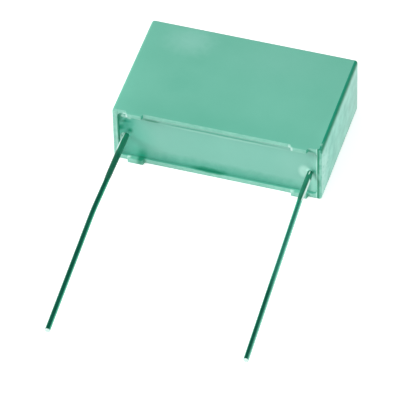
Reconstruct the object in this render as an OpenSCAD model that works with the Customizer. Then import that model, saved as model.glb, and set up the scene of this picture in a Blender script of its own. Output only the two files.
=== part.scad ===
// Box film capacitor with two radial leads, lying on one of its large faces.
//
// X runs along the case, +Y points at the closed end of the case, and +Z is up
// through its thickness. The origin is the middle of the face it lies on. The
// leads leave the open end towards -Y.
//
// A moulded cup holds a flattened film winding with a layer of sprayed zinc on
// each end. A wire is welded to each zinc layer. Resin poured into the cup fills
// the rest of it, and has hardened a little below the rim.

/* [Case] */
// Length of the case
case_length = 31.5; // [31:0.25:36]
// Height of the case, from its closed end to the tips of its feet
case_height = 20; // [17:0.5:26]
// Thickness of the case
case_thickness = 10; // [9:0.25:14]
// Thickness of the side walls, at the rim
wall = 0.8; // [0.6:0.05:1]
// Thickness of the closed end
end_wall = 0.9; // [0.7:0.05:1.6]
// Radius on the four long outer edges
edge_radius = 0.35; // [0.1:0.05:0.6]
// Radius on the outer edges of the closed end
end_radius = 0.55; // [0.1:0.05:1]
// Radius in the inner corners, at the rim
inner_radius = 0.5; // [0.2:0.05:0.9]
// Slope of the inner walls in degrees, for the case to leave its mould
draft = 0.5; // [0:0.1:0.8]

/* [Feet] */
// How far the feet stand out past the rim
foot_height = 0.55; // [0.3:0.05:1]
// Length of a foot, where it leaves the rim
foot_length = 2.7; // [1.5:0.1:5]
// How much shorter each end of a foot is at its tip
foot_taper = 0.2; // [0:0.05:0.5]
// Distance from the end of the case to a foot
foot_inset = 2; // [1:0.1:8]

/* [Gate] */
// Width of the dimple where the plastic entered the mould
gate_width = 2; // [1:0.1:3]
// Depth of the dimple
gate_depth = 0.2; // [0.1:0.05:0.4]
// Width of the broken stub inside it
stub_width = 0.8; // [0.4:0.1:0.9]
// Height of that stub
stub_height = 0.12; // [0.05:0.01:0.3]

/* [Winding] */
// Space between the winding and the wall that it settled against
settled_gap = 0.1; // [0.05:0.05:0.5]
// Space between the winding and the opposite wall
open_gap = 1.2; // [0.3:0.1:2]
// Depth of resin and air between the winding and the rim
cover_depth = 2.6; // [1.9:0.1:4]
// Space between each lead and the end wall, with the winding in the middle
end_gap = 0.7; // [0.5:0.05:2]
// How far the winding sits off the middle of the case, along its length
winding_shift = -0.05; // [-0.3:0.05:0.3]
// Width of the slit left by the flattened core
core_width = 7; // [3:0.5:8]
// Height of that slit
core_gap = 0.15; // [0.1:0.05:0.3]
// Thickness of the zinc on each end of the film
zinc_thickness = 0.35; // [0.2:0.05:0.6]

/* [Ribs] */
// Height of the ribs that hold the winding off the closed end
rib_height = 0.6; // [0.3:0.05:1.2]
// Thickness of a rib
rib_width = 0.8; // [0.5:0.1:1.5]
// Distance between the two ribs
rib_spacing = 16; // [6:0.5:24]

/* [Leads] */
// Diameter of the wire
lead_diameter = 0.8; // [0.6:0.05:0.9]
// Length of wire that lies on the zinc
weld_length = 10; // [5:0.5:13]
// Depth of wire that the weld pressed into the zinc
weld_bite = 0.08; // [0.03:0.01:0.15]
// Angle that each lead turns through towards +X, in degrees
bend_angle = 2.45; // [0.5:0.05:4]
// Radius of that bend
bend_radius = 65; // [20:5:120]
// Straight wire from the plane of the feet to the bend of the left lead
left_run = 13.4; // [2:0.1:20]
// Straight wire from the plane of the feet to the bend of the right lead
right_run = 0.5; // [0.5:0.1:20]
// Straight wire past the bend of the left lead
left_tail = 22.4; // [5:0.1:40]
// Straight wire past the bend of the right lead
right_tail = 33; // [5:0.1:40]
// Bevel left by the cutter around each tip
tip_bevel = 0.12; // [0.05:0.01:0.2]

/* [Resin] */
// Distance from the rim to the edge of the resin
resin_edge_gap = 0.35; // [0.1:0.05:0.8]
// How far the resin climbs the walls above its flat middle
meniscus_height = 0.5; // [0.1:0.05:0.7]
// Radius of the curve by which it climbs
meniscus_radius = 2.4; // [0.8:0.1:4]
// Radius of the fillet of resin around each lead
collar_radius = 0.35; // [0.1:0.05:0.5]

/* [Hidden] */

// Sides of each circle
$fn = 64;
// Reach of a shape past what it cuts, or is sunk in
past = 5;
sunk = 0.3;

// Places along Y: tips of the feet, rim, floor of the cup and closed end
feet_y = -case_height / 2;
rim_y = feet_y + foot_height;
back_y = case_height / 2;
floor_y = back_y - end_wall;

// The cavity at the rim, and how far each wall comes in at the floor
mouth_length = case_length - 2 * wall;
mouth_thickness = case_thickness - 2 * wall;
draft_inset = (floor_y - rim_y) * tan(draft);

// The winding stands between the ribs and its cover of resin, near the lower wall
winding_front_y = rim_y + cover_depth;
winding_back_y = floor_y - rib_height;
winding_height = winding_back_y - winding_front_y;
winding_y = (winding_back_y + winding_front_y) / 2;
winding_low_z = wall + draft_inset + settled_gap;
winding_high_z = case_thickness - wall - draft_inset - open_gap;
winding_thickness = winding_high_z - winding_low_z;
winding_z = (winding_low_z + winding_high_z) / 2;

// The leads stand near the end walls. They are pressed into the zinc, which lies
// on the ends of the film
lead_radius = lead_diameter / 2;
lead_pitch = mouth_length - lead_diameter - 2 * end_gap;
element_length = lead_pitch - lead_diameter + 2 * weld_bite;
film_length = element_length - 2 * zinc_thickness;
weld_end_y = winding_front_y + weld_length;

// The resin: its edge, its flat middle and the width of the curve between them
resin_edge_y = rim_y + resin_edge_gap;
resin_level_y = resin_edge_y + meniscus_height;
meniscus_reach = sqrt(meniscus_height * (2 * meniscus_radius - meniscus_height));

// ---------- Placing flat shapes ----------

// Draw a shape in X and Z, and push it from one Y to another
module along_y(from_y, to_y) {
    translate([0, to_y, 0])
        rotate([90, 0, 0])
            linear_extrude(to_y - from_y)
                children();
}

// Draw a shape in Y and Z, and push it both ways along X
module along_x(length) {
    rotate([90, 0, 90])
        linear_extrude(length, center = true)
            children();
}

// The solid whose plan, and whose side view, are each the given kind of outline:
// child 0 is the plan in X and Y, child 1 the side view in Z and Y
module plan_and_side() {
    intersection() {
        linear_extrude(case_thickness)
            children(0);
        translate([0, 0, case_thickness / 2])
            along_x(case_length)
                mirror([1, -1])
                    children(1);
    }
}

// A rectangle around the origin with rounded corners
module rounded_rect(width, height, radius) {
    square([width - 2 * radius, height], center = true);
    square([width, height - 2 * radius], center = true);
    for (x = [-1, 1], y = [-1, 1])
        translate([x * (width / 2 - radius), y * (height / 2 - radius)])
            circle(radius);
}

// The same, in X and Z at the middle of the case's thickness
module case_section(width, height, radius) {
    translate([0, case_thickness / 2])
        rounded_rect(width, height, radius);
}

// ---------- Case ----------

// A view of the case from the rim to the closed end, with two rounded corners
module block_outline(width) {
    straight = back_y - end_radius - rim_y;
    translate([-width / 2, rim_y])
        square([width, straight]);
    translate([-width / 2 + end_radius, rim_y])
        square([width - 2 * end_radius, straight + end_radius]);
    for (side = [-1, 1])
        translate([side * (width / 2 - end_radius), back_y - end_radius])
            circle(end_radius);
}

module case_block() {
    intersection() {
        along_y(rim_y, back_y)
            case_section(case_length, case_thickness, edge_radius);
        plan_and_side() {
            block_outline(case_length);
            block_outline(case_thickness);
        }
    }
}

// A view of the cavity, which is at its full width at the rim
module cavity_outline(width) {
    flare = past * tan(draft);
    half = width / 2;
    polygon([
        [-half - flare, rim_y - past],
        [half + flare, rim_y - past],
        [half - draft_inset, floor_y],
        [-half + draft_inset, floor_y]
    ]);
}

module cavity() {
    intersection() {
        along_y(rim_y - past, floor_y)
            case_section(mouth_length, mouth_thickness, inner_radius);
        plan_and_side() {
            cavity_outline(mouth_length);
            cavity_outline(mouth_thickness);
        }
    }
}

// One foot on the lower wall, whose ends slope in towards its tip
module foot() {
    linear_extrude(wall)
        polygon([
            [0, rim_y + sunk],
            [0, rim_y],
            [foot_taper, feet_y],
            [foot_length - foot_taper, feet_y],
            [foot_length, rim_y],
            [foot_length, rim_y + sunk]
        ]);
}

// Two feet on each of the long walls
module feet() {
    for (x = [0, 1], z = [0, 1])
        mirror([x, 0, 0])
            translate([-case_length / 2 + foot_inset, 0, z * (case_thickness - wall)])
                foot();
}

// Two ribs across the floor of the cup
module ribs() {
    for (side = [-1, 1])
        translate([side * rib_spacing / 2 - rib_width / 2, floor_y - rib_height, wall / 2])
            cube([rib_width, rib_height + sunk, case_thickness - wall]);
}

// A round shape standing out of the closed end's face, from one depth to another
module on_back(width, from_y, to_y) {
    along_y(from_y, to_y)
        translate([0, case_thickness / 2])
            circle(d = width);
}

module case() {
    color("mediumaquamarine")
        union() {
            difference() {
                case_block();
                cavity();
                on_back(gate_width, back_y - gate_depth, back_y + past);
            }
            feet();
            ribs();
            on_back(stub_width, back_y - gate_depth - sunk, back_y - gate_depth + stub_height);
        }
}

// ---------- Winding and zinc ----------

// The flattened roll seen from its end, in Y and Z
module winding_section() {
    straight = winding_height - winding_thickness;
    translate([winding_y, winding_z]) {
        square([straight, winding_thickness], center = true);
        for (end = [-1, 1])
            translate([end * straight / 2, 0])
                circle(d = winding_thickness);
    }
}

module film_winding() {
    color("lightgray")
        translate([winding_shift, 0, 0])
            along_x(film_length)
                difference() {
                    winding_section();
                    translate([winding_y, winding_z])
                        square([core_width, core_gap], center = true);
                }
}

// The sprayed layer on one end of the film, grooved by its wire
module zinc(side) {
    color("darkgray")
        difference() {
            translate([winding_shift + side * (film_length + zinc_thickness) / 2, 0, 0])
                along_x(zinc_thickness)
                    winding_section();
            lead_wire(side);
        }
}

// ---------- Leads ----------

// The far end of a lead, turned on its own axis, with its bevelled tip
module tail(length) {
    rotate([90, 0, 0])
        rotate_extrude()
            polygon([
                [0, 0],
                [lead_radius, 0],
                [lead_radius, length - tip_bevel],
                [lead_radius - tip_bevel, length],
                [0, length]
            ]);
}

// One lead: straight out of the resin, through its bend, and straight to its tip
module lead_wire(side) {
    bend_y = feet_y - (side < 0 ? left_run : right_run);
    straight = weld_end_y - bend_y;
    translate([winding_shift + side * lead_pitch / 2, bend_y, winding_z]) {
        rotate([-90, 0, 0])
            cylinder(h = straight, r = lead_radius);
        translate([bend_radius, 0, 0])
            rotate(180)
                rotate_extrude(angle = bend_angle)
                    translate([bend_radius, 0])
                        circle(lead_radius);
        translate([bend_radius * (1 - cos(bend_angle)), -bend_radius * sin(bend_angle), 0])
            rotate(bend_angle)
                tail(side < 0 ? left_tail : right_tail);
    }
}

module lead(side) {
    color("seagreen")
        lead_wire(side);
}

// ---------- Resin ----------

// A view of the air above the resin: flat in the middle, curved up at both walls
module dish_outline(width) {
    middle = width / 2 - meniscus_reach;
    translate([-middle, resin_level_y - past])
        square([2 * middle, past]);
    for (side = [-1, 1])
        translate([side * middle, resin_level_y - meniscus_radius])
            circle(meniscus_radius);
}

// The resin as it would be without the winding and the leads
module resin_block() {
    difference() {
        along_y(resin_edge_y, back_y)
            case_section(case_length, case_thickness, edge_radius);
        plan_and_side() {
            dish_outline(mouth_length);
            dish_outline(mouth_thickness);
        }
    }
}

// The fillet by which the resin climbs one lead
module collar(side) {
    translate([winding_shift + side * lead_pitch / 2, resin_level_y, winding_z])
        rotate([90, 0, 0])
            rotate_extrude()
                difference() {
                    translate([0, -sunk])
                        square([lead_radius + collar_radius, sunk + collar_radius]);
                    translate([lead_radius + collar_radius, collar_radius])
                        circle(collar_radius);
                }
}

module resin_fill() {
    color("paleturquoise")
        difference() {
            intersection() {
                cavity();
                union() {
                    resin_block();
                    collar(-1);
                    collar(1);
                }
            }
            ribs();
            translate([winding_shift, 0, 0])
                along_x(element_length)
                    winding_section();
            lead_wire(-1);
            lead_wire(1);
        }
}

case();
resin_fill();
film_winding();
zinc(-1);  // zinc_left
zinc(1);  // zinc_right
lead(-1);  // lead_left
lead(1);  // lead_right
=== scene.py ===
# %% [markdown]
# # A box film capacitor
#
# The part is a moulded cup about three centimetres long. A wound film sits inside it, resin
# closes it, and two tinned wires leave through the resin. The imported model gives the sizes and
# places, and this lesson dresses it: a softer case, a resin surface with a real meniscus, drawn
# wires and their finishes. Lengths are in millimetres until a mesh is finished, and the helper
# below reads a node's low and high corners that way.

from math import cos, radians, sin, sqrt, tan

import bmesh
import bpy
from mathutils import Matrix, Vector, noise


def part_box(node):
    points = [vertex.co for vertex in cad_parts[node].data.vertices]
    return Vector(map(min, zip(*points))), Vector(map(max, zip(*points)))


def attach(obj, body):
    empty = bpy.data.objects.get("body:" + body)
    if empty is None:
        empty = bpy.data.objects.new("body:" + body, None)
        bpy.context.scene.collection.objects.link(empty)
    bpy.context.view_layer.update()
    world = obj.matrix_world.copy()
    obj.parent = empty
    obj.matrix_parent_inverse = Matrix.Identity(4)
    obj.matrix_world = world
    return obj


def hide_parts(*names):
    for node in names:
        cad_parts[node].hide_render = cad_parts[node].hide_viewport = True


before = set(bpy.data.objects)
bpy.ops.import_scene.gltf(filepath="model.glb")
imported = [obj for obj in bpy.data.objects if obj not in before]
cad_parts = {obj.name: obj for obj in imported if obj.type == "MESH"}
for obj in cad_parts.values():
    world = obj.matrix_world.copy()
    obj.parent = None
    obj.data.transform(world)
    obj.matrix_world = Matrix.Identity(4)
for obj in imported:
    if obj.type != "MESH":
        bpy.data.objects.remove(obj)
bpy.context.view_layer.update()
scene = bpy.context.scene
MM = 0.001


def corners_of(name):
    return [[round(v / MM, 3) for v in corner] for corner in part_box(name)]


for name in sorted(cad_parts):
    print(name, *corners_of(name))

# %% [markdown]
# ## Camera
#
# The part is small, so it is looked at through a long lens from a little over half a metre. The
# camera stands in front of the open end, high and to the right. Its three axes are worked out
# from the two angles and a slight roll, and go straight into its matrix.

# %% Camera
VIEW_AZIMUTH = radians(18.105)
VIEW_ELEVATION = radians(46.082)
VIEW_ROLL = radians(-1.518)
VIEW_PLACE = Vector((0.13265, -0.42366, 0.44714))
LENS = 386.24
SENSOR_WIDTH = 36
NEAREST_VIEW = 0.01

backwards = Vector((
    sin(VIEW_AZIMUTH) * cos(VIEW_ELEVATION),
    -cos(VIEW_AZIMUTH) * cos(VIEW_ELEVATION),
    sin(VIEW_ELEVATION),
))
level = Vector((cos(VIEW_AZIMUTH), sin(VIEW_AZIMUTH), 0))
upright = backwards.cross(level)
across = level * cos(VIEW_ROLL) + upright * sin(VIEW_ROLL)
upwards = upright * cos(VIEW_ROLL) - level * sin(VIEW_ROLL)
axes = Matrix((across, upwards, backwards)).transposed()

camera = bpy.data.objects.new("camera", bpy.data.cameras.new("camera"))
camera.data.lens = LENS
camera.data.sensor_width = SENSOR_WIDTH
camera.data.clip_start = NEAREST_VIEW
camera.matrix_world = Matrix.Translation(VIEW_PLACE) @ axes.to_4x4()
scene.collection.objects.link(camera)
scene.camera = camera
print("camera at", [round(v, 3) for v in VIEW_PLACE], "lens", LENS)

# %% [markdown]
# ## Finished pieces
#
# Every new piece is built around the shared origin in millimetres. When it is done, its mesh is
# made smaller to metres and given to an object that stays at the origin, so that a pattern on
# Object coordinates finds it in its true place.


# %% Turn a finished mesh into a piece
def make_piece(name, mesh, slot, *stands_for):
    bmesh.ops.scale(mesh, vec=(MM, MM, MM), verts=mesh.verts)
    mesh.normal_update()
    data = bpy.data.meshes.new(name)
    mesh.to_mesh(data)
    mesh.free()
    for face in data.polygons:
        face.use_smooth = True
    piece = bpy.data.objects.new(name, data)
    scene.collection.objects.link(piece)
    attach(piece, "root")
    if stands_for:
        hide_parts(*stands_for)
    print(name, len(data.vertices), "vertices", len(data.polygons), "faces")
    return piece


# %% [markdown]
# ## Moulded case
#
# The case is one thin-walled moulding with an open end. A block is cut where the feet begin and
# end, its open face is inset by the wall, and the inner part is pushed back to hollow it. The
# strips of rim between the cuts are then pulled out as feet, so each foot is one skin with its
# wall. Bevels come last, the wide ones first: the outer edges, the inner corners, the lip of the
# mouth, and a small one on every edge that is still sharp. NEAR and FLAT say how close a point
# or a direction has to be when a face or an edge is looked for.

# %% Case sizes
WALL = 0.8
END_WALL = 0.9
DRAFT = radians(0.5)
FOOT_HEIGHT = 0.55
FOOT_INSET = 2.0
FOOT_LENGTH = 2.7
FOOT_TAPER = 0.2
NEAR = 0.05
FLAT = 0.95

case_low, case_high = corners_of("case")
LENGTH = case_high[0] - case_low[0]
THICKNESS = case_high[2] - case_low[2]
BACK_Y = case_high[1]
FLOOR_Y = BACK_Y - END_WALL
FOOT_TIP_Y = case_low[1]
RIM_Y = FOOT_TIP_Y + FOOT_HEIGHT
half_length = LENGTH / 2
middle_z = THICKNESS / 2
mouth_half_x = half_length - WALL
mouth_half_z = THICKNESS / 2 - WALL
foot_outer = half_length - FOOT_INSET
foot_inner = foot_outer - FOOT_LENGTH
print("case", LENGTH, "by", THICKNESS, "rim at", RIM_Y, "feet from", foot_inner, "to", foot_outer)

# %% [markdown]
# A cup could be cut out of a block with a second block, which leaves a mesh that is hard to round.
# Here the open face is inset by the wall and pushed back to the floor, so the faces stay in plain
# strips. The inner walls lean in by the draft, which lets a real cup slip off its core.


# %% Hollow block
def verts_of(geometry):
    return [item for item in geometry if isinstance(item, bmesh.types.BMVert)]


shell = bmesh.new()
bmesh.ops.create_cube(shell, size=1)
bmesh.ops.scale(shell, vec=(LENGTH, BACK_Y - RIM_Y, THICKNESS), verts=shell.verts)
bmesh.ops.translate(shell, vec=(0, (BACK_Y + RIM_Y) / 2, middle_z), verts=shell.verts)
for cut_x in (-foot_outer, -foot_inner, foot_inner, foot_outer):
    whole = shell.verts[:] + shell.edges[:] + shell.faces[:]
    bmesh.ops.bisect_plane(shell, geom=whole, plane_co=(cut_x, 0, 0), plane_no=(1, 0, 0))
open_faces = [face for face in shell.faces if face.normal.y < -FLAT]
bmesh.ops.inset_region(shell, faces=open_faces, thickness=WALL, use_even_offset=True)
pushed = bmesh.ops.extrude_face_region(shell, geom=open_faces)
bmesh.ops.delete(shell, geom=open_faces, context="FACES")
floor_verts = verts_of(pushed["geom"])
narrowing = (FLOOR_Y - RIM_Y) * tan(DRAFT)
bmesh.ops.translate(shell, vec=(0, FLOOR_Y - RIM_Y, 0), verts=floor_verts)
for vert in floor_verts:
    if abs(vert.co.x) > foot_outer + NEAR:
        vert.co.x -= narrowing if vert.co.x > 0 else -narrowing
    vert.co.z += narrowing if vert.co.z < middle_z else -narrowing
print("hollow block", len(shell.faces), "faces")

# %% [markdown]
# Small feet at the ends of the two long edges of the rim keep it off the board, so that solder
# and washing water can drain. They could be blocks joined on. Pulling out the strips of rim
# between the cuts keeps the cup one skin, as the mould makes it.

# %% Feet
shell.normal_update()
foot_roots = []
for face in shell.faces:
    middle = face.calc_center_median()
    on_rim = face.normal.y < -FLAT and middle.y < RIM_Y + NEAR
    on_long_wall = abs(middle.z - middle_z) > mouth_half_z
    if on_rim and on_long_wall and foot_inner < abs(middle.x) < foot_outer:
        foot_roots.append(face)
for root in foot_roots:
    raised = bmesh.ops.extrude_face_region(shell, geom=[root])
    tip = verts_of(raised["geom"])
    bmesh.ops.translate(shell, vec=(0, FOOT_TIP_Y - RIM_Y, 0), verts=tip)
    middle_x = sum(vert.co.x for vert in tip) / len(tip)
    for vert in tip:
        vert.co.x += FOOT_TAPER if vert.co.x < middle_x else -FOOT_TAPER
bmesh.ops.delete(shell, geom=foot_roots, context="FACES_ONLY")
print("feet", len(foot_roots))

# %% [markdown]
# No edge of a moulding is truly sharp, because the tool is rounded so that the part releases. One
# modifier could bevel everything at one width. With operators the outer edges, the inner corners,
# the lip and the small edges that are left each have a radius of their own.


# %% Find and round edges
SQUARE_EDGE = radians(60)
CREASE = radians(30)


def sharp_edges(mesh, least):
    return [
        edge
        for edge in mesh.edges
        if len(edge.link_faces) == 2 and edge.calc_face_angle(0) > least
    ]


def round_edges(mesh, edges, offset, segments):
    made = bmesh.ops.bevel(
        mesh,
        geom=edges,
        offset=offset,
        offset_type="OFFSET",
        segments=segments,
        profile=0.5,
        affect="EDGES",
        clamp_overlap=True,
        material=-1,
    )
    mesh.normal_update()
    return made["faces"]


def keep_sharp(mesh, least):
    for edge in sharp_edges(mesh, least):
        edge.smooth = False


print("edges that are still square", len(sharp_edges(shell, SQUARE_EDGE)))

# %% [markdown]
# Every edge is found by where its two ends lie. That is safer than an edge's number, which
# changes whenever an operator before it does.


# %% Which edge is which
def runs_deep(edge):
    one_end, other_end = edge.verts
    return abs(one_end.co.y - other_end.co.y) > (BACK_Y - RIM_Y) / 4


def is_outer_long(edge):
    return runs_deep(edge) and all(abs(vert.co.x) > half_length - NEAR for vert in edge.verts)


def is_inner_long(edge):
    return runs_deep(edge) and not is_outer_long(edge)


def is_back(edge):
    return all(vert.co.y > BACK_Y - NEAR for vert in edge.verts)


def within_mouth(place):
    return (
        abs(place.x) < mouth_half_x + NEAR
        and abs(place.z - middle_z) < mouth_half_z + NEAR
    )


def is_inner_rim(edge):
    return all(vert.co.y < RIM_Y + NEAR and within_mouth(vert.co) for vert in edge.verts)


bmesh.ops.recalc_face_normals(shell, faces=shell.faces)
print("outer long edges", sum(is_outer_long(edge) for edge in sharp_edges(shell, SQUARE_EDGE)))

# %% [markdown]
# The wide roundings come before the small ones. The faces that a rounding makes are marked as they
# appear: the rounded corner next to the right end, which the finish fills with painted shade, and
# everything that belongs to the rim. A face without a mark, which reads as zero, is the plain skin.

# %% Round the case
OUTER_ROUND = 0.48
INNER_ROUND = 0.5
LIP_ROUND = 0.15
LAST_ROUND = 0.08
# The right corner, the inner walls and the right-facing foot slopes are marked for painted shade,
# the left-facing foot slopes for a painted highlight.
END_SKIN, SHADED_CORNER, RIM, SHADED_INSIDE, LIT_END, SHADED_END = range(1, 7)

zone = shell.faces.layers.int.new("zone")
outer = [e for e in sharp_edges(shell, SQUARE_EDGE) if is_outer_long(e) or is_back(e)]
for face in round_edges(shell, outer, OUTER_ROUND, segments=6):
    if face.calc_center_median().x > half_length - OUTER_ROUND - NEAR:
        face[zone] = SHADED_CORNER
inner = [e for e in sharp_edges(shell, SQUARE_EDGE) if is_inner_long(e)]
round_edges(shell, inner, INNER_ROUND, segments=4)
lip = [e for e in sharp_edges(shell, CREASE) if is_inner_rim(e)]
for face in round_edges(shell, lip, LIP_ROUND, segments=3):
    face[zone] = RIM
rest = sharp_edges(shell, CREASE)
for face in round_edges(shell, rest, LAST_ROUND, segments=2):
    face[zone] = RIM
print("rounded case", len(shell.faces), "faces")

# %% [markdown]
# Each part of the case gets its own tone: a smooth skin, a mottled end face that is also painted
# paler as a painted sheen, the rounded corner at the right end in painted shade, a paler cut rim
# whose small rounded edges carry a painted highlight, and the inner walls of the cup in painted
# shade. The slopes of the feet get a painted highlight where they face left and painted shade where
# they face right. Each face keeps a small number that says which it is, and the finish reads that
# number later.

# %% Zones of the case
SLANTED = 0.7

for face in shell.faces:
    middle = face.calc_center_median()
    # Foot slopes: a painted highlight on those facing left, painted shade on those facing right.
    if abs(face.normal.x) > SLANTED and middle.y < RIM_Y - NEAR:
        face[zone] = LIT_END if face.normal.x < 0 else SHADED_END
    elif abs(face.normal.x) > FLAT and abs(middle.x) > half_length - NEAR:
        face[zone] = END_SKIN
    elif face.normal.y < -FLAT and middle.y < RIM_Y + NEAR:
        face[zone] = RIM
    elif RIM_Y + NEAR < middle.y < FLOOR_Y + NEAR and within_mouth(middle):
        face[zone] = SHADED_INSIDE
counts = [sum(face[zone] == kind for face in shell.faces) for kind in range(SHADED_END + 1)]
print("faces in each zone", counts)
case_piece = make_piece("moulded_case", shell, "case_plastic", "case")

# %% [markdown]
# ## Potting resin
#
# Poured resin wets what it touches. It stands lowest in the middle, climbs the four walls in a
# wide curve and the two wires in a tight one. As it hardened it shrank a little, which opened a
# hair of space along the walls. A fine grid across the mouth is lowered to that level, and each
# of its points is raised by whichever curve it stands nearest.

# %% Resin sizes
LEVEL_Y = -8.6
MENISCUS_RADIUS = 2.4
MENISCUS_HEIGHT = 0.5
COLLAR_RADIUS = 0.35
SHRINK_GAP = 0.05
SKIRT_DEPTH = 1.5
GRID_ALONG = 330
GRID_ACROSS = 94
RIPPLE_HEIGHT = 0.02
RIPPLE_SCALE = 0.35
RIPPLE_SLICE = 1.7

meniscus_reach = sqrt(MENISCUS_HEIGHT * (2 * MENISCUS_RADIUS - MENISCUS_HEIGHT))
print("the resin curves up over", round(meniscus_reach, 2), "mm")

# %% [markdown]
# The wires pass through the resin, so their thickness and places are needed here already. Each
# wire lies straight along Y where it leaves the resin, with its left side at the low X of its
# node, and its middle halfway up the node.

# %% Places of the wires
LEAD_RADIUS = 0.4

lead_boxes = {side: corners_of("lead_" + side) for side in ("left", "right")}
LEAD_X = {side: round(low[0] + LEAD_RADIUS, 3) for side, (low, high) in lead_boxes.items()}
lead_low, lead_high = lead_boxes["left"]
LEAD_Z = round((lead_low[2] + lead_high[2]) / 2, 3)
WELD_END_Y = lead_high[1]
print("wires at", LEAD_X, "height", LEAD_Z, "from", WELD_END_Y)

# %% [markdown]
# The surface could be a flat sheet sculpted by hand. Here each point of a grid is placed by its
# distance from the walls and the wires, because that decides how far real resin climbs.


# %% How far the resin climbs
def climb(distance, reach, radius):
    if distance >= reach:
        return 0.0
    return radius - sqrt(max(radius * radius - (reach - distance) ** 2, 0))


def end_gap(x):
    return max(mouth_half_x - abs(x), 0)


def side_gap(z):
    return max(mouth_half_z - abs(z - middle_z), 0)


def wire_gap(x, z):
    to_middle = min(sqrt((x - lead_x) ** 2 + (z - LEAD_Z) ** 2) for lead_x in LEAD_X.values())
    return max(to_middle - LEAD_RADIUS, 0)


def resin_rise(x, z):
    to_end = climb(end_gap(x), meniscus_reach, MENISCUS_RADIUS)
    to_side = climb(side_gap(z), meniscus_reach, MENISCUS_RADIUS)
    to_wire = climb(wire_gap(x, z), COLLAR_RADIUS, COLLAR_RADIUS)
    ripple_place = Vector((x * RIPPLE_SCALE, z * RIPPLE_SCALE, RIPPLE_SLICE))
    ripple = RIPPLE_HEIGHT * noise.noise(ripple_place)
    return max(min(sqrt(to_end**2 + to_side**2), MENISCUS_HEIGHT), to_wire) + ripple


print("rise in the middle", round(resin_rise(0, middle_z), 3))

# %% [markdown]
# A grid needs about ten points for each millimetre before the collars round the wires come out
# round. Its edge is drawn down into the cup and closed, so that the resin is a solid piece.

# %% Resin surface
resin = bmesh.new()
bmesh.ops.create_grid(resin, x_segments=GRID_ALONG, y_segments=GRID_ACROSS, size=0.5)
resin_span = (2 * (mouth_half_x - SHRINK_GAP), 2 * (mouth_half_z - SHRINK_GAP), 1)
bmesh.ops.scale(resin, vec=resin_span, verts=resin.verts)
bmesh.ops.rotate(resin, matrix=Matrix.Rotation(radians(90), 3, "X"), verts=resin.verts)
bmesh.ops.translate(resin, vec=(0, LEVEL_Y, middle_z), verts=resin.verts)
for vert in resin.verts:
    vert.co.y -= resin_rise(vert.co.x, vert.co.z)
skirt = [edge for edge in resin.edges if edge.is_boundary]
sunk = bmesh.ops.extrude_edge_only(resin, edges=skirt)
for vert in verts_of(sunk["geom"]):
    vert.co.y = LEVEL_Y + SKIRT_DEPTH
bmesh.ops.holes_fill(resin, edges=[e for e in resin.edges if e.is_boundary], sides=0)
bmesh.ops.recalc_face_normals(resin, faces=resin.faces)
print("resin", len(resin.faces), "faces")

# %% [markdown]
# Resin is painted darker where it turns up against a wall or a wire, a painted shade in those
# creases. Each point keeps a number for how near it is, and the finish reads it, so the painted
# shade follows the shape.

# %% How near the resin is to a wall or a wire
WALL_LINE = 0.35
WIRE_LINE = 0.25
WIRE_LINE_STRENGTH = 0.8

beside = resin.verts.layers.float.new("beside")
for vert in resin.verts:
    wall_gap = min(end_gap(vert.co.x), side_gap(vert.co.z))
    near_wall = max(0.0, 1 - wall_gap / WALL_LINE)
    near_wire = max(0.0, 1 - wire_gap(vert.co.x, vert.co.z) / WIRE_LINE)
    vert[beside] = max(near_wall, WIRE_LINE_STRENGTH * near_wire)
keep_sharp(resin, SQUARE_EDGE)
print("points beside a wall or a wire", sum(vert[beside] > 0 for vert in resin.verts))
resin_piece = make_piece("potting_resin", resin, "potting_resin", "resin_fill")

# %% [markdown]
# ## Wires
#
# A tinned copper wire starts on the zinc, runs straight out of the resin, turns through a very
# slight bend and ends where it was cropped. One ring of points is drawn out along that path:
# extruded where the wire is straight and spun where it bends.

# %% Wire sizes
BEND_ANGLE = radians(2.45)
BEND_RADIUS = 65.0
BEND_STEPS = 6
BEND_START_Y = {"left": -23.4, "right": -10.5}
TAIL_LENGTH = {"left": 22.4, "right": 33.0}
TIP_BEVEL = 0.12
RING_POINTS = 40
print("wire beyond the bend", TAIL_LENGTH)

# %% [markdown]
# A curve with a round profile would give a wire in one step. A ring that is drawn on step by step
# leaves a mesh whose every ring is known, so the bend, the tip and later the film are exact.


# %% Helpers for drawn shapes
def open_ring(geometry):
    return [e for e in geometry if isinstance(e, bmesh.types.BMEdge) and e.is_boundary]


def start_ring(mesh, middle, radius):
    bmesh.ops.create_circle(mesh, cap_ends=False, segments=RING_POINTS, radius=radius)
    bmesh.ops.rotate(mesh, matrix=Matrix.Rotation(radians(90), 3, "X"), verts=mesh.verts)
    bmesh.ops.translate(mesh, vec=middle, verts=mesh.verts)
    return mesh.edges[:]


def draw_on(mesh, ring, step):
    drawn = bmesh.ops.extrude_edge_only(mesh, edges=ring)["geom"]
    bmesh.ops.translate(mesh, vec=step, verts=verts_of(drawn))
    return open_ring(drawn)


def resize_ring(ring, middle, new_middle, share):
    for vert in {vert for edge in ring for vert in edge.verts}:
        vert.co = new_middle + (vert.co - middle) * share


def close_ends(mesh):
    bmesh.ops.holes_fill(mesh, edges=open_ring(mesh.edges), sides=0)
    bmesh.ops.recalc_face_normals(mesh, faces=mesh.faces)
    mesh.normal_update()


print("drawing helpers", start_ring.__name__, draw_on.__name__, close_ends.__name__)

# %% [markdown]
# The finish of a wire needs to know which way each point of it faces, and which faces were cut.
# Both are kept on the mesh as numbers, and they stay right where the wire bends.


# %% Numbers kept on a wire
CUT_FACING = 0.5


def note_directions(mesh):
    sideways = mesh.verts.layers.float.new("sideways")
    upward = mesh.verts.layers.float.new("upward")
    for vert in mesh.verts:
        vert[sideways] = vert.normal.x
        vert[upward] = vert.normal.z


def note_cut(mesh, along):
    cut = mesh.faces.layers.float.new("cut")
    for face in mesh.faces:
        face[cut] = 1.0 if face.normal.dot(along) > CUT_FACING else 0.0


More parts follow.
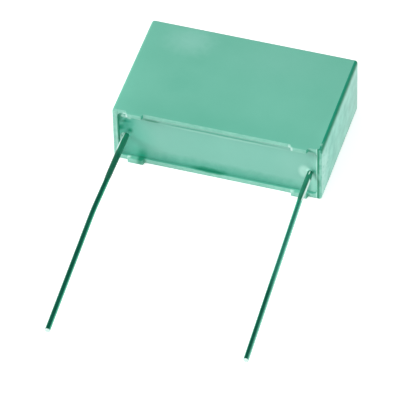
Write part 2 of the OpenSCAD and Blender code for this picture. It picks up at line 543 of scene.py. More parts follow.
print("kept on a wire by", note_directions.__name__, "and", note_cut.__name__)

# %% [markdown]
# A real wire is cropped to length, which leaves a face with a small slope round it. The tip is
# drawn a little further and its ring is made smaller, before the end is closed.


# %% Draw a wire
def bend(mesh, ring, centre):
    turn = Matrix.Rotation(BEND_ANGLE / BEND_STEPS, 3, "Z")
    for _ in range(BEND_STEPS):
        drawn = bmesh.ops.extrude_edge_only(mesh, edges=ring)["geom"]
        bmesh.ops.rotate(mesh, cent=centre, matrix=turn, verts=verts_of(drawn))
        ring = open_ring(drawn)
    return ring


def draw_wire(side):
    wire = bmesh.new()
    x, bend_y = LEAD_X[side], BEND_START_Y[side]
    ring = start_ring(wire, Vector((x, WELD_END_Y, LEAD_Z)), LEAD_RADIUS)
    ring = draw_on(wire, ring, (0, bend_y - WELD_END_Y, 0))
    ring = bend(wire, ring, Vector((x + BEND_RADIUS, bend_y, LEAD_Z)))
    along = Vector((sin(BEND_ANGLE), -cos(BEND_ANGLE), 0))
    ring = draw_on(wire, ring, along * (TAIL_LENGTH[side] - TIP_BEVEL))
    ring = draw_on(wire, ring, along * TIP_BEVEL)
    corners = [corner.co for edge in ring for corner in edge.verts]
    tip = sum(corners, Vector()) / len(corners)
    resize_ring(ring, tip, tip, 1 - TIP_BEVEL / LEAD_RADIUS)
    close_ends(wire)
    note_cut(wire, along)
    note_directions(wire)
    keep_sharp(wire, CREASE)
    return make_piece("wire_" + side, wire, "tinned_wire", "lead_" + side)


wires = {side: draw_wire(side) for side in ("left", "right")}
print("faces on each wire", [len(wire.data.polygons) for wire in wires.values()])

# %% [markdown]
# ## Resin film on the wires
#
# Wet resin creeps a few millimetres up each wire and sets there as a skin, a little thicker on
# the outer side. A tube could be scaled by hand. Here a ring is drawn along the wire, step by
# step, and each step takes the next radius and follows the bend, until the ring dips into the
# wire and the skin ends without a lip. Each pair below is a place along Y and the radius there.

# %% Film sizes
FILM_START = ((-8.3, 0.405), (-9.1, 0.42), (-10.0, 0.47), (-10.8, 0.49), (-11.8, 0.485))
FILM_SHAPE = {
    "left": FILM_START + ((-13.0, 0.475), (-15.0, 0.46), (-17.5, 0.44), (-19.5, 0.36)),
    "right": FILM_START + ((-12.9, 0.465), (-13.8, 0.43), (-14.8, 0.40), (-16.0, 0.36)),
}
FILM_SHIFT = {"left": -0.06, "right": 0.10}
FULL_FILM = 0.1


def wire_drift(side, y):
    run = max(BEND_START_Y[side] - y, 0)
    curved = min(run, BEND_RADIUS * sin(BEND_ANGLE))
    drift = BEND_RADIUS - sqrt(BEND_RADIUS * BEND_RADIUS - curved * curved)
    return drift + (run - curved) * tan(BEND_ANGLE)


def film_middle(side, y, radius):
    thicker = max(radius - LEAD_RADIUS, 0) / FULL_FILM
    x = LEAD_X[side] + wire_drift(side, y) + FILM_SHIFT[side] * thicker
    return Vector((x, y, LEAD_Z))


for side, shape in FILM_SHAPE.items():
    last_y = shape[-1][0]
    print(side, "film ends at", last_y, "drift there", round(wire_drift(side, last_y), 3))

# %% [markdown]
# The ring of a film starts below the surface of the resin and ends inside the wire, so neither
# end of it shows.


# %% Draw a film
def draw_film(side):
    film = bmesh.new()
    y, radius = FILM_SHAPE[side][0]
    middle = film_middle(side, y, radius)
    ring = start_ring(film, middle, radius)
    for next_y, next_radius in FILM_SHAPE[side][1:]:
        ring = draw_on(film, ring, (0, 0, 0))
        next_middle = film_middle(side, next_y, next_radius)
        resize_ring(ring, middle, next_middle, next_radius / radius)
        middle, radius = next_middle, next_radius
    close_ends(film)
    note_directions(film)
    keep_sharp(film, CREASE)
    return make_piece("resin_film_" + side, film, "potting_resin")


films = {side: draw_film(side) for side in ("left", "right")}
print("faces on each film", [len(film.data.polygons) for film in films.values()])

# %% [markdown]
# ## Finishes
#
# Each finish is a small network of nodes. The shared effects are node groups, so the same cloud
# or grain can be placed in several materials with other values.


# %% Helpers for nodes
def new_group(name, inputs, outputs):
    group = bpy.data.node_groups.new(name, "ShaderNodeTree")
    for label, kind, value in inputs:
        socket = group.interface.new_socket(label, in_out="INPUT", socket_type=kind)
        if value is not None:
            socket.default_value = value
    for label, kind in outputs:
        group.interface.new_socket(label, in_out="OUTPUT", socket_type=kind)
    return group, group.nodes.new("NodeGroupInput"), group.nodes.new("NodeGroupOutput")


def new_material(name):
    material = bpy.data.materials.new(name)
    material.use_nodes = True
    tree = material.node_tree
    return material, tree, tree.nodes["Principled BSDF"]


def new_finish(name):
    material, tree, shader = new_material(name)
    return material, tree, shader, tree.nodes.new("ShaderNodeTexCoord").outputs["Object"]


def place_group(tree, group, **values):
    node = tree.nodes.new("ShaderNodeGroup")
    node.node_tree = group
    for label, value in values.items():
        node.inputs[label].default_value = value
    return node


print("node helpers", new_group.__name__, new_finish.__name__, place_group.__name__)

# %% [markdown]
# Moulded plastic, resin and tin are never one flat colour. A soft noise that mixes two close tones
# gives them that life. It is a group, so that each finish sets its own scale and contrast.

# %% Cloud of two colours
FLOAT, COLOUR, VECTOR = "NodeSocketFloat", "NodeSocketColor", "NodeSocketVector"

cloud, cloud_in, cloud_out = new_group(
    "cloud of two colours",
    [("Vector", VECTOR, None), ("Scale", FLOAT, 200.0), ("Contrast", FLOAT, 1.0),
     ("Deep", COLOUR, (0.1, 0.3, 0.2, 1)), ("Pale", COLOUR, (0.2, 0.6, 0.4, 1))],
    [("Color", COLOUR)],
)
cloud_noise = cloud.nodes.new("ShaderNodeTexNoise")
cloud_noise.inputs["Detail"].default_value = 3
cloud_noise.inputs["Roughness"].default_value = 0.5
cloud.links.new(cloud_in.outputs["Vector"], cloud_noise.inputs["Vector"])
cloud.links.new(cloud_in.outputs["Scale"], cloud_noise.inputs["Scale"])
centred = cloud.nodes.new("ShaderNodeMath")
centred.operation = "SUBTRACT"
centred.inputs[1].default_value = 0.5
cloud.links.new(cloud_noise.outputs["Fac"], centred.inputs[0])
spread = cloud.nodes.new("ShaderNodeMath")
spread.operation = "MULTIPLY_ADD"
spread.use_clamp = True
spread.inputs[2].default_value = 0.5
cloud.links.new(centred.outputs[0], spread.inputs[0])
cloud.links.new(cloud_in.outputs["Contrast"], spread.inputs[1])
cloud_mix = cloud.nodes.new("ShaderNodeMix")
cloud_mix.data_type = "RGBA"
cloud.links.new(spread.outputs[0], cloud_mix.inputs["Factor"])
cloud.links.new(cloud_in.outputs["Deep"], cloud_mix.inputs[6])
cloud.links.new(cloud_in.outputs["Pale"], cloud_mix.inputs[7])
cloud.links.new(cloud_mix.outputs[2], cloud_out.inputs["Color"])
print("group", cloud.name)

# %% [markdown]
# A fine texture breaks up gloss. It could be modelled, but at this scale it would cost millions of
# faces, so a second group turns noise into a slight tilt of the surface.

# %% Grain that tilts the surface
grain, grain_in, grain_out = new_group(
    "grain",
    [("Vector", VECTOR, None), ("Scale", FLOAT, 3000.0), ("Height", FLOAT, 0.00001)],
    [("Normal", VECTOR)],
)
grain_noise = grain.nodes.new("ShaderNodeTexNoise")
grain_noise.inputs["Detail"].default_value = 2
grain.links.new(grain_in.outputs["Vector"], grain_noise.inputs["Vector"])
grain.links.new(grain_in.outputs["Scale"], grain_noise.inputs["Scale"])
grain_bump = grain.nodes.new("ShaderNodeBump")
grain_bump.inputs["Strength"].default_value = 1
grain.links.new(grain_noise.outputs["Fac"], grain_bump.inputs["Height"])
grain.links.new(grain_in.outputs["Height"], grain_bump.inputs["Distance"])
grain.links.new(grain_bump.outputs["Normal"], grain_out.inputs["Normal"])
print("group", grain.name)

# %% [markdown]
# Streaks, painted highlights and painted shade sit in one place on a piece. They could be painted
# on an image. A patch does it with numbers: a middle, a reach on each axis, an edge, and a little
# noise that keeps its outline from being a perfect oval. Its sums are done on whole places, with a
# helper that takes each value from a socket or as it stands.


# %% Sums with places
def vector_step(group, operation, first, second):
    node = group.nodes.new("ShaderNodeVectorMath")
    node.operation = operation
    for socket, value in zip(node.inputs, (first, second)):
        if isinstance(value, tuple):
            socket.default_value = value
        else:
            group.links.new(value, socket)
    return node.outputs["Vector"]


print("helper", vector_step.__name__)

# %% A soft patch
patch, patch_in, patch_out = new_group(
    "soft patch",
    [("Vector", VECTOR, None), ("Middle", VECTOR, (0, 0, 0)), ("Reach", VECTOR, (MM, MM, MM)),
     ("Edge", FLOAT, 0.0), ("Wander", FLOAT, 0.0), ("Strength", FLOAT, 1.0)],
    [("Mask", FLOAT)],
)
patch_noise = patch.nodes.new("ShaderNodeTexNoise")
patch_noise.inputs["Scale"].default_value = 900
patch_noise.inputs["Detail"].default_value = 2
patch.links.new(patch_in.outputs["Vector"], patch_noise.inputs["Vector"])
swing = vector_step(patch, "SUBTRACT", patch_noise.outputs["Color"], (0.5, 0.5, 0.5))
swing = vector_step(patch, "MULTIPLY", swing, patch_in.outputs["Wander"])
apart = vector_step(patch, "SUBTRACT", patch_in.outputs["Vector"], patch_in.outputs["Middle"])
apart = vector_step(patch, "ADD", apart, swing)
share = vector_step(patch, "DIVIDE", apart, patch_in.outputs["Reach"])
length = patch.nodes.new("ShaderNodeVectorMath")
length.operation = "LENGTH"
fade = patch.nodes.new("ShaderNodeMapRange")
fade.interpolation_type = "SMOOTHSTEP"
fade.inputs["From Max"].default_value = 1
fade.inputs["To Max"].default_value = 0
patch.links.new(share, length.inputs[0])
patch.links.new(length.outputs["Value"], fade.inputs["Value"])
patch.links.new(patch_in.outputs["Edge"], fade.inputs["From Min"])
patch.links.new(patch_in.outputs["Strength"], fade.inputs["To Min"])
patch.links.new(fade.outputs["Result"], patch_out.inputs["Mask"])
print("group", patch.name)

# %% [markdown]
# A finish is built up like paint, one layer over another. These helpers lay one colour over
# another through a mask, and do sums with masks.


# %% Helpers for layers
def mix_colour(tree, factor, below, above):
    node = tree.nodes.new("ShaderNodeMix")
    node.data_type = "RGBA"
    tree.links.new(factor, node.inputs["Factor"])
    tree.links.new(below, node.inputs[6])
    if isinstance(above, tuple):
        node.inputs[7].default_value = above
    else:
        tree.links.new(above, node.inputs[7])
    return node.outputs[2]


def compute(tree, operation, first, second):
    node = tree.nodes.new("ShaderNodeMath")
    node.operation = operation
    node.use_clamp = operation in ("ADD", "MULTIPLY")
    for socket, value in zip(node.inputs, (first, second)):
        if isinstance(value, (int, float)):
            socket.default_value = value
        else:
            tree.links.new(value, socket)
    return node.outputs[0]


print("layer helpers", mix_colour.__name__, compute.__name__)

# %% [markdown]
# A mask can also come from a number kept on the mesh. A ramp turns such a number into a soft step,
# and that step holds another mask back to the places that face one way.


# %% Helpers for masks
def read_attribute(tree, name):
    node = tree.nodes.new("ShaderNodeAttribute")
    node.attribute_name = name
    return node.outputs["Fac"]


def ramp(tree, value, low, high):
    node = tree.nodes.new("ShaderNodeMapRange")
    node.interpolation_type = "SMOOTHSTEP"
    node.inputs["From Min"].default_value = low
    node.inputs["From Max"].default_value = high
    tree.links.new(value, node.inputs["Value"])
    return node.outputs["Result"]


def facing(tree, mask, direction, low, high):
    return compute(tree, "MULTIPLY", mask, ramp(tree, direction, low, high))


print("mask helpers", read_attribute.__name__, ramp.__name__, facing.__name__)

# %% [markdown]
# Every finish starts with one cloud of colour and ends with a grain and a roughness. Between the
# two come its own masks, and its patches in order.


# %% Helpers for finishes
def add_tint(tree, place, scale, contrast, deep, pale):
    node = place_group(tree, cloud, Scale=scale, Contrast=contrast, Deep=deep, Pale=pale)
    tree.links.new(place, node.inputs["Vector"])
    return node.outputs["Color"]


def patch_mask(tree, place, middle, reach, edge, wander, strength):
    node = place_group(
        tree, patch,
        Middle=[v * MM for v in middle], Reach=[v * MM for v in reach],
        Edge=edge, Wander=wander * MM, Strength=strength,
    )
    tree.links.new(place, node.inputs["Vector"])
    return node.outputs["Mask"]


def paint_patches(tree, place, colour, patches):
    for paint, middle, reach, edge, wander, strength in patches:
        mask = patch_mask(tree, place, middle, reach, edge, wander, strength)
        colour = mix_colour(tree, mask, colour, paint)
    return colour


def complete(tree, shader, place, colour, scale, height, roughness):
    skin = place_group(tree, grain, Scale=scale, Height=height)
    tree.links.new(place, skin.inputs["Vector"])
    tree.links.new(skin.outputs["Normal"], shader.inputs["Normal"])
    tree.links.new(colour, shader.inputs["Base Color"])
    shader.inputs["Roughness"].default_value = roughness


print("finish helpers", add_tint.__name__, paint_patches.__name__, complete.__name__)

# %% [markdown]
# Each patch below is a colour, its middle and reach in millimetres, how hard its edge is, how much
# its outline wanders, and its strength. The first four lie on the top face: two paler clouds are a
# painted reflection of a bright light above and behind, and two darker patches darken its middle
# and front edge. The others lie on the right end face: pale streaks of painted sheen, one darker
# patch, and a dark top edge of painted shade where the rounding turns away from the light.

# %% Colours of the plastic
DEEP_GREEN = (0.006, 0.270, 0.150, 1)
DARK_GREEN = (0.020, 0.380, 0.240, 1)
PALE_GREEN = (0.480, 0.860, 0.740, 1)
SOFT_GREEN = (0.260, 0.660, 0.530, 1)
GLINT = (0.700, 0.980, 0.900, 1)
FACE_PATCHES = [
    (SOFT_GREEN, (-9.0, 7.0, THICKNESS), (5.6, 4.4, 2), 0.0, 2.2, 0.97),
    (SOFT_GREEN, (5.0, 6.5, THICKNESS), (13.0, 6.0, 2), 0.0, 2.0, 0.25),
    (DARK_GREEN, (-8.0, -2.0, THICKNESS), (4.0, 4.0, 2), 0.0, 2.0, 0.15),
    (DARK_GREEN, (0.0, -9.6, THICKNESS), (30, 6.0, 2), 0.0, 1.0, 0.2),
    (PALE_GREEN, (half_length, -9.4, 5), (0.4, 4.5, 12), 0.2, 1.5, 0.6),
    (PALE_GREEN, (half_length, -7.6, 6.0), (0.4, 3.5, 4.0), 0.1, 1.5, 0.35),
    (PALE_GREEN, (half_length, 2.0, 8.4), (0.4, 9.0, 1.2), 0.2, 1.0, 0.25),
    (DARK_GREEN, (half_length, -1.0, 3.2), (0.4, 4.5, 2.6), 0.1, 2.0, 0.12),
    (DARK_GREEN, (half_length, 0, 9.6), (0.4, 30, 0.95), 0.2, 0.6, 0.5),
    (DEEP_GREEN, (half_length, 0, 9.75), (0.4, 30, 0.5), 0.5, 0.2, 0.9),
]
print("patches on the faces", len(FACE_PATCHES))

# %% [markdown]
# The feet get painted highlights on their tips and painted shade under and beside them, where light
# would catch or miss their small slopes. The rim has fine painted lines along it: pale painted
# highlights on its inner edges and dark painted shade in the gaps where it turns into the mouth.

# %% Patches on the rim and the feet
RIM_PATCHES = [
    (GLINT, (-13.95, -9.5, 9.3), (0.4, 0.4, 0.45), 0.1, 0.2, 0.8),
    (GLINT, (-13.65, -9.95, 9.5), (0.5, 0.45, 0.75), 0.2, 0.25, 1.0),
    (GLINT, (10.9, -9.5, 9.5), (0.3, 0.3, 0.6), 0.1, 0.3, 0.7),
    (GLINT, (11.3, -10.0, 9.6), (0.35, 0.3, 0.75), 0.1, 0.3, 0.7),
    (GLINT, (-13.45, -9.6, 0.8), (0.5, 0.4, 0.35), 0.1, 0.2, 1.0),
    (GLINT, (11.3, -9.7, 0.75), (0.55, 0.4, 0.4), 0.1, 0.2, 0.8),
    (DEEP_GREEN, (-11.6, RIM_Y, 0.6), (0.9, 1.2, 1.4), 0.3, 0.5, 0.95),
    (DEEP_GREEN, (-1.3, -9.15, 0.8), (3.6, 0.5, 0.35), 0.4, 0.3, 0.9),
    (DARK_GREEN, (-11.0, -9.4, 9.1), (0.7, 0.6, 0.3), 0.0, 0.2, 0.8),
    (DEEP_GREEN, (-14.99, -9.3, 6.4), (0.14, 0.6, 4.2), 0.5, 0.06, 0.8),
    (PALE_GREEN, (-15.22, RIM_Y, 4), (0.16, 0.3, 5), 0.2, 0.1, 0.5),
    (DARK_GREEN, (15.45, RIM_Y, 5), (0.45, 0.3, 30), 0.4, 0.1, 0.35),
    (DEEP_GREEN, (15.20, RIM_Y, 5), (0.24, 0.35, 30), 0.45, 0.08, 0.95),
    (SOFT_GREEN, (15.40, RIM_Y, 4.4), (0.3, 0.35, 1.1), 0.2, 0.15, 0.8),
    (PALE_GREEN, (14.95, -9.38, 5), (0.12, 0.3, 8), 0.5, 0.04, 1.0),
    (DEEP_GREEN, (13.75, -9.5, 9.4), (0.7, 0.5, 0.45), 0.2, 0.2, 0.9),
    (DARK_GREEN, (14.3, RIM_Y, 9.3), (1.0, 0.5, 0.3), 0.2, 0.2, 0.6),
    (DEEP_GREEN, (13.7, -9.7, 0.4), (0.35, 0.6, 0.7), 0.2, 0.2, 0.8),
]
print("patches on the rim and the feet", len(RIM_PATCHES))

# %% [markdown]
# The case is a filled green plastic, half gloss, from a polished mould. Each zone of the mesh gets
# its own tone before the patches go over it. The roughness is one value, set on the shader.

# %% Moulded plastic
plastic, tree, shader, place = new_finish("moulded green plastic")
zone_number = read_attribute(tree, "zone")
skin_tint = add_tint(tree, place, 110.0, 1.4, (0.155, 0.555, 0.405, 1), (0.195, 0.615, 0.465, 1))
end_tint = add_tint(tree, place, 520.0, 2.0, (0.140, 0.545, 0.415, 1), (0.300, 0.765, 0.625, 1))
rim_tint = add_tint(tree, place, 1500.0, 2.2, (0.220, 0.590, 0.460, 1), (0.320, 0.690, 0.560, 1))
colour = skin_tint
# These zone tones hold painted light: painted shade on the right corner, the inner walls and the
# right-facing foot slopes, a painted highlight on the left-facing slopes, a painted sheen on the
# paler end face and a painted highlight on the small rounded edges of the rim.
for kind, paint, amount in (
    (END_SKIN, end_tint, 1.0),
    (RIM, rim_tint, 0.9),
    (SHADED_CORNER, (0.000, 0.335, 0.195, 1), 1.0),
    (SHADED_INSIDE, (0.095, 0.470, 0.340, 1), 0.9),
    (LIT_END, (0.450, 0.820, 0.700, 1), 0.9),
    (SHADED_END, (0.030, 0.360, 0.230, 1), 0.9),
):
    here = compute(tree, "COMPARE", zone_number, float(kind))
    colour = mix_colour(tree, compute(tree, "MULTIPLY", here, amount), colour, paint)
colour = paint_patches(tree, place, colour, FACE_PATCHES + RIM_PATCHES)
complete(tree, shader, place, colour, scale=2600.0, height=0.008 * MM, roughness=0.34)
case_piece.data.materials.append(plastic)
print(plastic.name, len(tree.nodes), "nodes")

# %% [markdown]
# The resin shows a soft swirl where it was poured. The patches over it are painted light: painted
# shade at the left end, in the upper left corner, under the top wall and round the wires, a dark
# band along the lower wall that is a painted reflection of that wall, a faint painted light on the
# right end, and pale painted highlights on the meniscus beside the walls and wires. These could be
# left to the lamps, but the swells are so slight that colour carries them.

# %% Colours of the resin
RICH_GREEN = (0.090, 0.535, 0.388, 1)
BAND_GREEN = (0.074, 0.402, 0.286, 1)
# Every row below paints light on the resin: the dark rows are painted shade and the painted
# reflection of the lower wall, the pale rows are painted highlights.
RESIN_PATCHES = [
    (RICH_GREEN, (-16.0, LEVEL_Y, 3.0), (7.5, 9, 10.0), 0.3, 0.8, 0.75),
    (PALE_GREEN, (12.0, LEVEL_Y, 4.5), (5.0, 9, 6.0), 0.0, 0.5, 0.12),
    (DARK_GREEN, (0.0, LEVEL_Y, 8.12), (11.5, 9, 0.22), 0.5, 0.12, 0.65),
    (DEEP_GREEN, (-10.2, LEVEL_Y, 8.15), (1.9, 9, 0.32), 0.4, 0.12, 0.8),
    (PALE_GREEN, (1.0, LEVEL_Y, 7.74), (12.0, 9, 0.24), 0.4, 0.15, 0.3),
    (BAND_GREEN, (0.0, LEVEL_Y, 0.3), (30, 9, 2.25), 0.3, 0.8, 0.9),
    (DEEP_GREEN, (-1.5, -8.9, 0.65), (4.2, 9, 0.68), 0.4, 0.4, 0.9),
    (DEEP_GREEN, (-11.6, -8.9, 0.8), (1.1, 9, 1.5), 0.2, 0.4, 0.95),
    (DARK_GREEN, (-11.6, LEVEL_Y, 1.5), (1.8, 9, 1.9), 0.0, 0.5, 0.5),
    (DARK_GREEN, (-15.0, -8.7, 7.4), (2.4, 9, 3.0), 0.2, 1.0, 0.42),
    (DEEP_GREEN, (-14.95, -9.0, 7.9), (0.6, 9, 1.2), 0.2, 0.4, 0.95),
    (DEEP_GREEN, (-14.3, -9.0, 7.1), (0.6, 9, 0.45), 0.1, 0.4, 0.8),
    (DARK_GREEN, (-13.7, -9.0, 7.05), (0.8, 9, 0.35), 0.1, 0.3, 0.5),
    (PALE_GREEN, (-14.4, -9.0, 8.3), (0.35, 9, 0.42), 0.3, 0.15, 0.95),
    (PALE_GREEN, (-14.0, -9.0, 8.05), (0.5, 9, 0.45), 0.3, 0.15, 0.9),
    (PALE_GREEN, (-13.5, -9.0, 7.8), (0.5, 9, 0.4), 0.2, 0.15, 0.7),
    (DEEP_GREEN, (-14.9, -8.8, 5.9), (0.8, 9, 0.9), 0.2, 0.6, 0.8),
    (DEEP_GREEN, (-13.45, -8.7, 5.25), (0.65, 9, 0.75), 0.1, 0.3, 0.8),
    (DARK_GREEN, (14.5, -8.7, 4.65), (0.65, 9, 0.75), 0.2, 0.4, 0.7),
    (PALE_GREEN, (12.85, -8.7, 4.2), (1.15, 9, 1.55), 0.3, 0.2, 1.0),
    (PALE_GREEN, (14.4, -8.7, 1.9), (0.7, 9, 2.6), 0.4, 0.3, 0.45),
    (PALE_GREEN, (-14.45, -8.8, 4.5), (0.4, 9, 0.4), 0.3, 0.1, 1.0),
    (PALE_GREEN, (-14.8, -8.8, 3.9), (0.3, 9, 0.7), 0.2, 0.1, 0.9),
    (PALE_GREEN, (14.95, LEVEL_Y, 5.6), (0.3, 9, 4.4), 0.4, 0.04, 1.0),
]
print("patches on the resin", len(RESIN_PATCHES))

# %% [markdown]
# Cured resin is glossier than the case and a little deeper in colour. Its finish is one slow cloud,
# the painted shade along walls and wires, the patches of painted light and shade, and a wide gentle
# grain.

# %% Potting resin finish
resin_finish, tree, shader, place = new_finish("green potting resin")
tint = add_tint(tree, place, 90.0, 1.5, (0.204, 0.564, 0.444, 1), (0.244, 0.609, 0.494, 1))
# Painted shade along the walls and the wires.
painted_edge_shade = compute(tree, "MULTIPLY", read_attribute(tree, "beside"), 0.35)
colour = mix_colour(tree, painted_edge_shade, tint, DARK_GREEN)
colour = paint_patches(tree, place, colour, RESIN_PATCHES)
complete(tree, shader, place, colour, scale=160.0, height=0.04 * MM, roughness=0.12)
shader.inputs["Specular IOR Level"].default_value = 0.3
resin_piece.data.materials.append(resin_finish)
print(resin_finish.name, len(tree.nodes), "nodes")

# %% [markdown]
# Tin is a soft bright metal that takes the colour of what stands around it. Down the middle it
# reads dark. Along one flank a painted sheen and a painted highlight stand in for the light it
# catches, a painted shade darkens the other flank of the left wire, and the middle of the right
# wire is painted paler as a painted reflection. The number called sideways, kept on each point,
# says which flank a place is on, so the streak follows the wire round its bend.

# %% Masks along the wires
HIGHLIGHT_AND_CUT_TIN = (0.740, 1.000, 0.920, 1)
SHEEN_TIN = (0.180, 0.620, 0.450, 1)
CORE_TIN = (0.100, 0.800, 0.560, 1)
DEEP_TIN = (0.000, 0.115, 0.060, 1)
MASK_X = {"left": -14.0, "right": 14.5}

tin, tree, shader, place = new_finish("tinned wire")
turned = read_attribute(tree, "sideways")
raised = read_attribute(tree, "upward")


def along_wire(side, y, reach, edge, strength):
    middle = (MASK_X[side], y, LEAD_Z)
    return patch_mask(tree, place, middle, (4.0, reach, 9.0), edge, 0.0, strength)


# core is painted paler as a painted reflection, the sheens are painted sheen on the right flanks,
# shade is painted shade on the left flank of the left wire, and flank is a painted highlight on the
# upper left flank of the right wire.
core = along_wire("right", -20.0, 14.0, 0.6, 0.7)
right_sheen = facing(tree, along_wire("right", -30.0, 60.0, 0.9, 0.8), turned, 0.15, 0.80)
left_sheen = facing(tree, along_wire("left", -30.0, 60.0, 0.9, 0.3), turned, 0.35, 0.85)
sheen = compute(tree, "MAXIMUM", right_sheen, left_sheen)
shade = facing(tree, along_wire("left", -30.0, 60.0, 0.9, 0.85), turned, -0.45, -0.85)
flank = facing(tree, along_wire("right", -20.0, 12.0, 0.6, 0.65), turned, -0.40, -0.80)
flank = facing(tree, flank, raised, -0.05, 0.25)
# The pale colour goes on the real cut faces of the tips, and on that flank as a painted highlight.
highlight_and_cut = compute(tree, "MAXIMUM", flank, read_attribute(tree, "cut"))
print("masks on", tin.name)

# %% [markdown]
# The masks now lay their tones over the cloud. Where a gleam or a shade is painted, the metal is
# made dull in step, so that what it mirrors doesn't cover the paint.

# %% Tinned wire
colour = add_tint(tree, place, 500.0, 1.5, (0.008, 0.280, 0.160, 1), (0.030, 0.430, 0.260, 1))
for mask, paint in ((core, CORE_TIN), (sheen, SHEEN_TIN), (shade, DEEP_TIN), (highlight_and_cut, HIGHLIGHT_AND_CUT_TIN)):
    colour = mix_colour(tree, mask, colour, paint)
dull = compute(tree, "MAXIMUM", highlight_and_cut, compute(tree, "MULTIPLY", sheen, 0.6))
dull = compute(tree, "MAXIMUM", dull, shade)
tree.links.new(compute(tree, "SUBTRACT", 1.0, dull), shader.inputs["Metallic"])
complete(tree, shader, place, colour, scale=900.0, height=0.01 * MM, roughness=0.22)
for wire in wires.values():
    wire.data.materials.append(tin)
print(tin.name, len(tree.nodes), "nodes")

# %% [markdown]
# The skin of resin on a wire is clear enough for the metal to darken it, and its outer side gets a
# long white painted highlight. The same sideways and upward numbers keep that painted highlight on
# the outer top side.

# %% Resin film finish
# The patches add a small painted highlight and a dark mark where the right skin leaves the resin, a
# dark mark where the left skin does, and a darker stretch near the end of the left skin.
FILM_PATCHES = [
    (HIGHLIGHT_AND_CUT_TIN, (13.86, -9.35, 4.90), (0.10, 0.50, 0.35), 0.4, 0.04, 1.0),
    (DEEP_GREEN, (14.15, -9.75, 4.80), (0.16, 0.55, 0.50), 0.4, 0.10, 0.8),
    (DEEP_GREEN, (-13.70, -9.20, 4.85), (0.30, 0.50, 0.50), 0.4, 0.10, 0.6),
    (DEEP_TIN, (-14.0, -18.2, LEAD_Z), (2.0, 6.4, 3.0), 0.7, 0.3, 0.9),
]
film_finish, tree, shader, place = new_finish("resin film")
turned = read_attribute(tree, "sideways")
raised = read_attribute(tree, "upward")
right_shine = patch_mask(tree, place, (14.0, -12.7, LEAD_Z), (2.0, 2.5, 3.0), 0.8, 0.1, 1.0)
left_shine = patch_mask(tree, place, (-14.0, -10.4, LEAD_Z), (2.0, 2.6, 3.0), 0.6, 0.3, 1.0)
right_shine = facing(tree, right_shine, turned, 0.56, 0.74)
left_shine = facing(tree, left_shine, turned, -0.40, -0.62)
shine = facing(tree, compute(tree, "MAXIMUM", left_shine, right_shine), raised, -0.15, 0.15)
colour = add_tint(tree, place, 700.0, 1.5, (0.006, 0.165, 0.085, 1), (0.022, 0.245, 0.145, 1))
colour = mix_colour(tree, shine, colour, HIGHLIGHT_AND_CUT_TIN)
colour = paint_patches(tree, place, colour, FILM_PATCHES)
complete(tree, shader, place, colour, scale=900.0, height=0.01 * MM, roughness=0.2)
for film in films.values():
    film.data.materials.append(film_finish)
print(film_finish.name, len(tree.nodes), "nodes")

# %% [markdown]
# The winding and its two sprayed ends are sealed in, so nobody sees them in the finished part. They
# still get the look of the real thing, thin shiny metal and a rough grey spray, for an open view.

# %% Wound film and sprayed zinc
winding, tree, shader, place = new_finish("wound metallised film")
colour = add_tint(tree, place, 600.0, 1.2, (0.30, 0.40, 0.36, 1), (0.55, 0.66, 0.61, 1))
tree.links.new(colour, shader.inputs["Base Color"])
shader.inputs["Metallic"].default_value = 0.6
shader.inputs["Roughness"].default_value = 0.3

zinc, tree, shader, place = new_finish("sprayed zinc")
colour = add_tint(tree, place, 2500.0, 2.0, (0.18, 0.24, 0.22, 1), (0.42, 0.50, 0.46, 1))
complete(tree, shader, place, colour, scale=3500.0, height=0.04 * MM, roughness=0.7)
shader.inputs["Metallic"].default_value = 0.8

for name, finish in (("film_winding", winding), ("zinc_left", zinc), ("zinc_right", zinc)):
    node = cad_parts[name]
    node.data.materials.clear()
    node.data.materials.append(finish)
print("materials", len(bpy.data.materials))

# %% [markdown]
# ## Floor and light
#
# The part lies on a pale floor under soft light. The floor is a flat sheet that reaches far past
# the view, and it stands a hair below the part so that the two faces don't lie in one plane.

# %% Floor
FLOOR_REACH = 3
FLOOR_DROP = 0.02 * MM

ground = bmesh.new()
bmesh.ops.create_grid(ground, x_segments=1, y_segments=1, size=FLOOR_REACH)
bmesh.ops.translate(ground, vec=(0, 0, -FLOOR_DROP), verts=ground.verts)
floor_data = bpy.data.meshes.new("floor")
ground.to_mesh(floor_data)
ground.free()
floor = bpy.data.objects.new("floor", floor_data)
scene.collection.objects.link(floor)
print("floor width in metres", floor.dimensions.x)

# %% [markdown]
# Plain white paper would look grey under so little light, so a faint glow lifts it. Only rays that
# look at it directly or by way of a reflection see the glow. It throws no light on matt surfaces,
# and the floor still holds the shadow of the part.

# %% Pale floor
FLOOR_GLOW = 0.6

paper, tree, shader = new_material("pale floor")
shader.inputs["Base Color"].default_value = (0.82, 0.82, 0.82, 1)
shader.inputs["Roughness"].default_value = 0.9
shader.inputs["Specular IOR Level"].default_value = 0
shader.inputs["Emission Color"].default_value = (1, 1, 1, 1)
path = tree.nodes.new("ShaderNodeLightPath")
seen = path.outputs["Is Camera Ray"]
for label in ("Is Glossy Ray", "Is Transmission Ray"):
    seen = compute(tree, "MAXIMUM", seen, path.outputs[label])
glow = compute(tree, "MULTIPLY", seen, FLOOR_GLOW)
tree.links.new(glow, shader.inputs["Emission Strength"])
floor.data.materials.append(paper)
print(paper.name, len(tree.nodes), "nodes")

# %% [markdown]
# Soft light from all round could come from many lamps. A bright world does it at once. Low
# directions stay bright and the sky above is plainer, so glossy faces have something to show.

# %% World
SKY_HEIGHT = 0.22
SKY_STRENGTH = 0.25

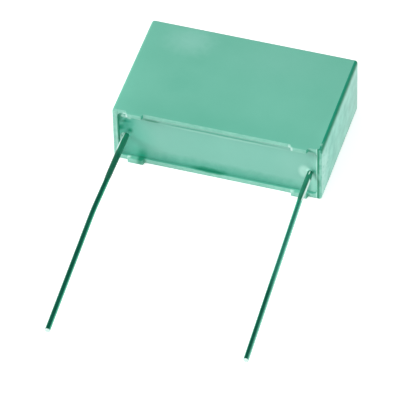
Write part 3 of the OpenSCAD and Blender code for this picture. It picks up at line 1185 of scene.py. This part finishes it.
world = bpy.data.worlds.new("studio")
world.use_nodes = True
scene.world = world
tree = world.node_tree
background = tree.nodes["Background"]
background.inputs["Color"].default_value = (1, 1, 1, 1)
direction = tree.nodes.new("ShaderNodeSeparateXYZ")
tree.links.new(tree.nodes.new("ShaderNodeTexCoord").outputs["Generated"], direction.inputs[0])
ceiling = tree.nodes.new("ShaderNodeMapRange")
ceiling.interpolation_type = "SMOOTHSTEP"
ceiling.inputs["From Max"].default_value = SKY_HEIGHT
ceiling.inputs["To Min"].default_value = 1
ceiling.inputs["To Max"].default_value = SKY_STRENGTH
tree.links.new(direction.outputs["Z"], ceiling.inputs["Value"])
print("world", world.name)

# %% [markdown]
# One world plays three parts. The camera sees it as plain white, gloss sees the sky above, and
# matt surfaces are lit at one even strength.

# %% What each kind of ray sees
MATT_STRENGTH = 0.5

path = tree.nodes.new("ShaderNodeLightPath")
gloss = compute(tree, "MAXIMUM", path.outputs["Is Glossy Ray"], path.outputs["Is Transmission Ray"])
soft = tree.nodes.new("ShaderNodeMix")
soft.inputs[2].default_value = MATT_STRENGTH
tree.links.new(gloss, soft.inputs["Factor"])
tree.links.new(ceiling.outputs["Result"], soft.inputs[3])
strength = tree.nodes.new("ShaderNodeMix")
strength.inputs[3].default_value = 1
tree.links.new(path.outputs["Is Camera Ray"], strength.inputs["Factor"])
tree.links.new(soft.outputs[0], strength.inputs[2])
tree.links.new(strength.outputs[0], background.inputs["Strength"])
print("matt surfaces are lit at", MATT_STRENGTH)

# %% [markdown]
# Three square lamps shape the part: a key from the left, one from the right for the side wall, and
# a low one in front that reaches into the cup. They are large for so small a part, so every edge
# of light stays soft.


# %% Lamps
LAMP_DISTANCE = 0.8


def add_lamp(name, towards, size, watts):
    lamp = bpy.data.lights.new(name, "AREA")
    lamp.shape = "SQUARE"
    lamp.size = size
    lamp.energy = watts
    holder = bpy.data.objects.new(name, lamp)
    place = Vector(towards).normalized() * LAMP_DISTANCE
    turn = Vector(towards).to_track_quat("Z", "Y").to_matrix().to_4x4()
    holder.matrix_world = Matrix.Translation(place) @ turn
    scene.collection.objects.link(holder)
    print("lamp", name, "size", size, "watts", watts)


add_lamp("key", (-0.8, -0.35, 0.55), size=0.35, watts=3.8)
add_lamp("side", (1.0, -0.35, 0.35), size=0.5, watts=1.9)
add_lamp("front", (0.1, -1.0, 0.25), size=0.6, watts=0.7)
scene.view_settings.view_transform = "Standard"
